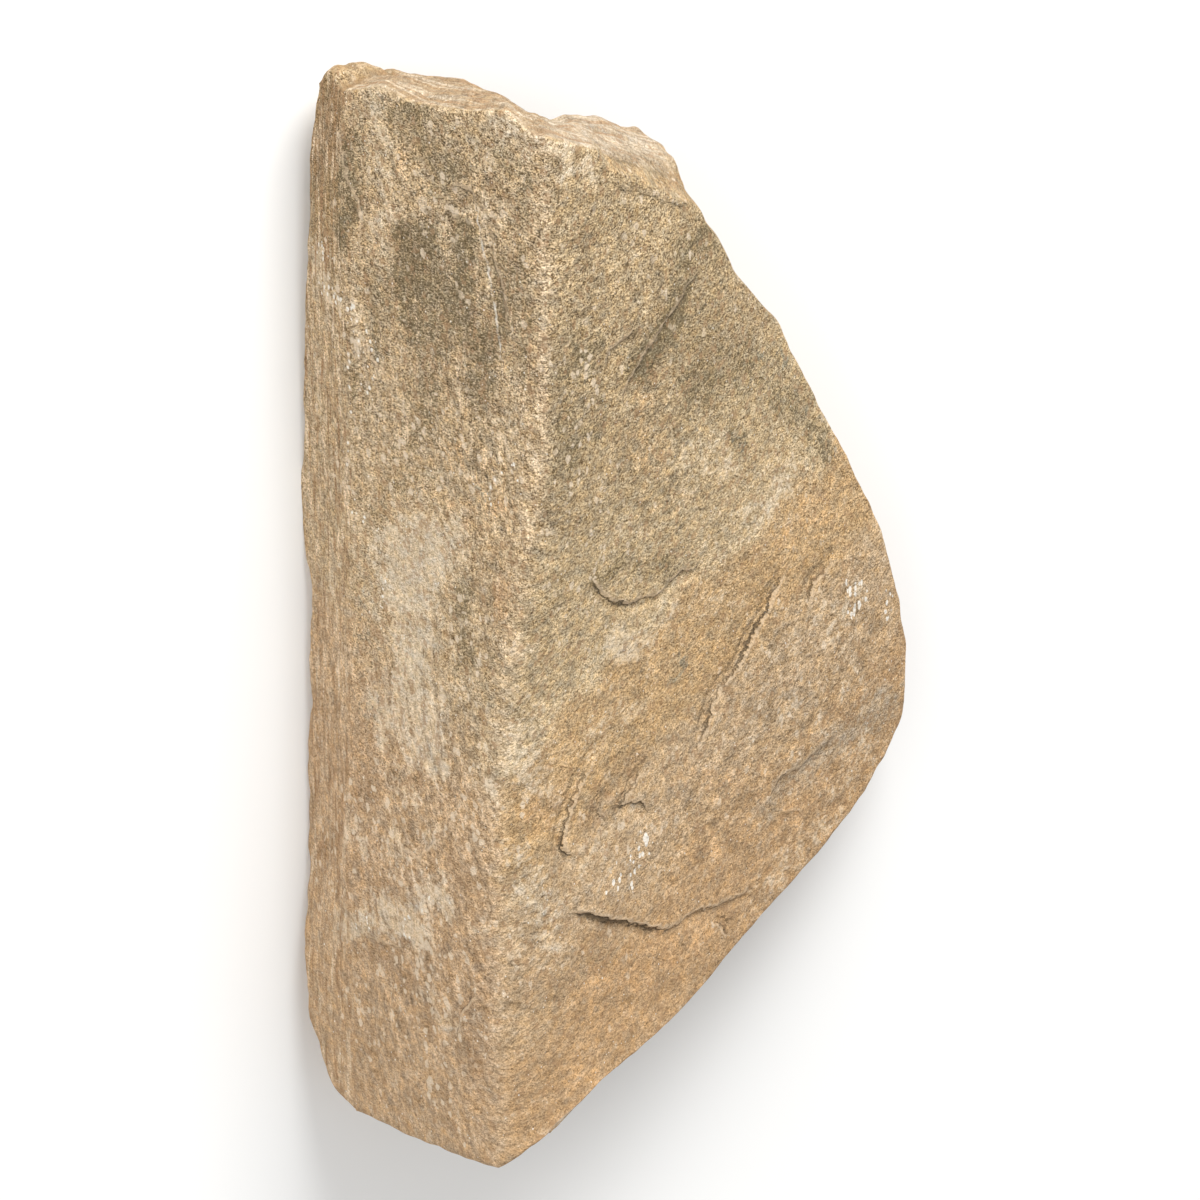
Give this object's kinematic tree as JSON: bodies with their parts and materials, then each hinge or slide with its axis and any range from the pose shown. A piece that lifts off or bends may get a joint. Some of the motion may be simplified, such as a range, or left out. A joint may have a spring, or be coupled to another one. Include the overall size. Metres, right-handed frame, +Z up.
{
  "type": "stone veneer corner piece",
  "caption": "Natural sandstone veneer corner: an L-section stone with split outer faces and sawn inner faces that wraps the outside corner of a wall.",
  "frame": {"origin": "middle of the footprint, on the surface that the stone lies on", "axes": "+Y along the stone's length towards its head, +X towards the belly of the long leg, +Z up"},
  "size_m": [0.1872, 0.302, 0.0885],
  "materials": {
    "sandstone": "split natural face, rough and matte; sawn flat behind"
  },
  "bodies": {
    "root": {"stone": "sandstone"}
  },
  "joints": []
}
